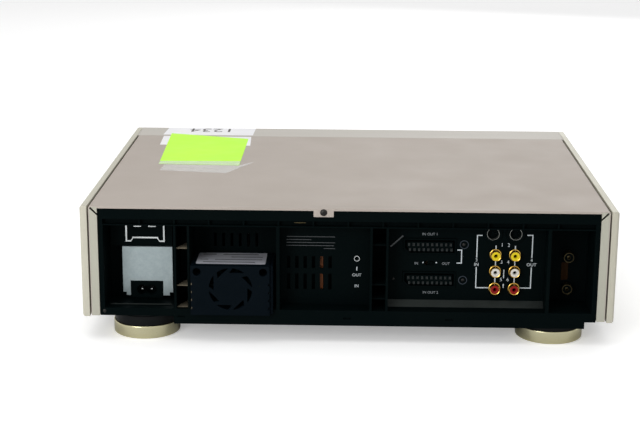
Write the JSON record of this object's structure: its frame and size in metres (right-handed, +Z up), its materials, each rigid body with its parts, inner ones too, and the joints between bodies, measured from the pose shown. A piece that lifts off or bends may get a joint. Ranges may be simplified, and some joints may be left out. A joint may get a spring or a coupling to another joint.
{
  "type": "video cassette recorder",
  "caption": "Front-loading tape deck cabinet with a recessed socket panel, a fan module, turned feet and a jointed tape mechanism inside.",
  "frame": {"origin": "under the middle of the whole machine, on the surface that it stands on", "axes": "+X to the machine's right seen from its front, +Y towards its sockets, +Z up"},
  "size_m": [0.47, 0.362, 0.1236],
  "materials": {
    "champagne": "satin champagne paint with a fine grain",
    "champagne_front": "satin champagne front panel",
    "side_panel": "satin pale metal",
    "foot": "turned gold ring under a black collar",
    "black_plastic": "moulded black plastic",
    "screw": "black passivated steel",
    "window": "dark clear acrylic",
    "shield": "dull zinc plate",
    "bright_steel": "bright steel",
    "steel": "zinc plated steel",
    "drum": "machined aluminium",
    "white_plastic": "white acetal",
    "rubber": "matt rubber",
    "brass": "gold plate",
    "green_board": "lacquered circuit board",
    "brown_board": "paper circuit board",
    "transformer": "lacquered windings and core"
  },
  "bodies": {
    "cabinet": {"aerial_unit": "shield", "audio_control_head": "bright_steel", "av_jack_block": "brass", "base_plate": "steel", "capstan_motor": "steel", "carriage_bracket": "steel", "control_jack": "steel", "cover_screw": "screw", "deck_plate": "steel", "display_window": "window", "erase_head": "bright_steel", "fan_housing": "black_plastic", "foot_front_left": "foot", "foot_front_right": "foot", "foot_rear_left": "foot", "foot_rear_right": "foot", "front_board": "green_board", "front_fascia": "champagne_front", "jack_board": "brown_board", "loading_motor": "steel", "lower_drum": "drum", "main_board": "green_board", "mains_inlet": "black_plastic", "mains_transformer": "transformer", "power_board": "brown_board", "power_supply_shield": "shield", "rear_frame": "black_plastic", "s_video_block": "black_plastic", "scart_socket_lower": "black_plastic", "scart_socket_upper": "black_plastic", "shield_clip": "bright_steel", "side_panel_left": "side_panel", "side_panel_right": "side_panel", "top_cover": "champagne"},
    "cassette_flap": {"cassette_flap": "champagne_front"},
    "control_door": {"control_door": "champagne_front"},
    "power_button": {"power_button": "champagne"},
    "eject_button": {"eject_button": "champagne"},
    "stop_button": {"stop_button": "champagne"},
    "play_button": {"play_button": "champagne"},
    "jog_dial": {"jog_dial": "drum"},
    "shuttle_ring": {"shuttle_ring": "champagne"},
    "carriage": {"carriage_slider": "steel"},
    "cassette_holder": {"cassette_holder": "steel"},
    "carriage_pinion": {"carriage_pinion": "white_plastic"},
    "upper_drum": {"upper_drum": "drum"},
    "capstan": {"capstan_flywheel": "steel"},
    "pinch_arm": {"pinch_arm": "steel"},
    "pinch_roller": {"pinch_roller": "rubber"},
    "supply_reel": {"supply_reel": "white_plastic"},
    "takeup_reel": {"takeup_reel": "white_plastic"},
    "idler_arm": {"idler_arm": "steel"},
    "idler_wheel": {"idler_wheel": "rubber"},
    "supply_guide": {"supply_guide": "steel"},
    "takeup_guide": {"takeup_guide": "steel"},
    "loading_gear": {"loading_gear": "white_plastic"},
    "loading_pinion": {"loading_pinion": "brass"},
    "tension_arm": {"tension_arm": "steel"},
    "fan_rotor": {"fan_rotor": "black_plastic"},
    "output_switch": {"output_switch_knob": "black_plastic"}
  },
  "joints": [
    {"name": "flap_hinge", "type": "hinge", "parent": "cabinet", "child": "cassette_flap", "pos_m": [0, -0.1728, 0.1167], "axis": [-1, 0, 0], "range_deg": [-90, 0], "stiffness_Nm_per_rad": 0.01, "springref_deg": 17.19},
    {"name": "door_hinge", "type": "hinge", "parent": "cabinet", "child": "control_door", "pos_m": [-0.048, -0.17325, 0.02785], "axis": [1, 0, 0], "range_deg": [0, 90]},
    {"name": "power_press", "type": "slide", "parent": "cabinet", "child": "power_button", "axis": [0, 1, 0], "range_m": [0, 0.0015], "stiffness_N_per_m": 400, "springref_m": -0.001},
    {"name": "eject_press", "type": "slide", "parent": "cabinet", "child": "eject_button", "axis": [0, 1, 0], "range_m": [0, 0.0015], "stiffness_N_per_m": 400, "springref_m": -0.001},
    {"name": "stop_press", "type": "slide", "parent": "cabinet", "child": "stop_button", "axis": [0, 1, 0], "range_m": [0, 0.0015], "stiffness_N_per_m": 400, "springref_m": -0.001},
    {"name": "play_press", "type": "slide", "parent": "cabinet", "child": "play_button", "axis": [0, 1, 0], "range_m": [0, 0.0015], "stiffness_N_per_m": 400, "springref_m": -0.001},
    {"name": "jog_turn", "type": "hinge", "parent": "cabinet", "child": "jog_dial", "pos_m": [0.165, -0.175, 0.084], "axis": [0, 1, 0], "continuous": true},
    {"name": "shuttle_turn", "type": "hinge", "parent": "cabinet", "child": "shuttle_ring", "pos_m": [0.165, -0.175, 0.084], "axis": [0, 1, 0], "range_deg": [-60, 60], "stiffness_Nm_per_rad": 0.02},
    {"name": "carriage_in", "type": "slide", "parent": "cabinet", "child": "carriage", "axis": [0, 1, 0], "range_m": [0, 0.04]},
    {"name": "holder_down", "type": "slide", "parent": "carriage", "child": "cassette_holder", "axis": [0, 0, -1], "range_m": [0, 0.022]},
    {"name": "carriage_pinion_turn", "type": "hinge", "parent": "cabinet", "child": "carriage_pinion", "pos_m": [0.0962, -0.07, 0.0681], "axis": [-1, 0, 0], "range_deg": [0, 330]},
    {"name": "drum_spin", "type": "hinge", "parent": "cabinet", "child": "upper_drum", "pos_m": [0, 0.053, 0.0752], "axis": [0, 0, 1], "continuous": true},
    {"name": "capstan_spin", "type": "hinge", "parent": "cabinet", "child": "capstan", "pos_m": [0.05, 0.005, 0.05], "axis": [0, 0, 1], "continuous": true},
    {"name": "pinch_swing", "type": "hinge", "parent": "cabinet", "child": "pinch_arm", "pos_m": [0.074, 0.022, 0.0582], "axis": [0, 0, -1], "range_deg": [0, 26]},
    {"name": "pinch_roller_spin", "type": "hinge", "parent": "pinch_arm", "child": "pinch_roller", "pos_m": [0.06711, -0.00088, 0.0606], "axis": [0, 0, 1], "continuous": true},
    {"name": "supply_reel_spin", "type": "hinge", "parent": "cabinet", "child": "supply_reel", "pos_m": [-0.0463, -0.059, 0.0582], "axis": [0, 0, 1], "continuous": true},
    {"name": "takeup_reel_spin", "type": "hinge", "parent": "cabinet", "child": "takeup_reel", "pos_m": [0.0463, -0.059, 0.0582], "axis": [0, 0, 1], "continuous": true},
    {"name": "idler_swing", "type": "hinge", "parent": "cabinet", "child": "idler_arm", "pos_m": [0, -0.082, 0.0582], "axis": [0, 0, 1], "range_deg": [-45, 45]},
    {"name": "idler_wheel_spin", "type": "hinge", "parent": "idler_arm", "child": "idler_wheel", "pos_m": [0, -0.062, 0.0582], "axis": [0, 0, 1], "continuous": true},
    {"name": "loading_turn", "type": "hinge", "parent": "cabinet", "child": "loading_gear", "pos_m": [0, 0.015, 0.0515], "axis": [0, 0, 1], "range_deg": [0, 150]},
    {"name": "loading_pinion_turn", "type": "hinge", "parent": "cabinet", "child": "loading_pinion", "pos_m": [-0.024, 0.015, 0.0515], "axis": [0, 0, 1], "range_deg": [-450, 0]},
    {"name": "supply_guide_run", "type": "slide", "parent": "cabinet", "child": "supply_guide", "axis": [-0.4017, 0.9158, 0], "range_m": [0, 0.0622]},
    {"name": "takeup_guide_run", "type": "slide", "parent": "cabinet", "child": "takeup_guide", "axis": [0.4017, 0.9158, 0], "range_m": [0, 0.0622]},
    {"name": "tension_swing", "type": "hinge", "parent": "cabinet", "child": "tension_arm", "pos_m": [-0.075, -0.023, 0.0582], "axis": [0, 0, 1], "range_deg": [0, 15], "stiffness_Nm_per_rad": 0.002},
    {"name": "fan_spin", "type": "hinge", "parent": "cabinet", "child": "fan_rotor", "pos_m": [0.1028, 0.1739, 0.051], "axis": [0, 1, 0], "continuous": true},
    {"name": "output_switch_slide", "type": "slide", "parent": "cabinet", "child": "output_switch", "axis": [1, 0, 0], "range_m": [0, 0.004]}
  ],
  "couplings": [
    {"joint": "carriage_pinion_turn", "follows": "carriage_in", "rad_per_m": 142.86},
    {"joint": "loading_pinion_turn", "follows": "loading_turn", "ratio": -3},
    {"joint": "supply_guide_run", "follows": "loading_turn", "m_per_rad": 0.0237},
    {"joint": "takeup_guide_run", "follows": "loading_turn", "m_per_rad": 0.0237}
  ]
}
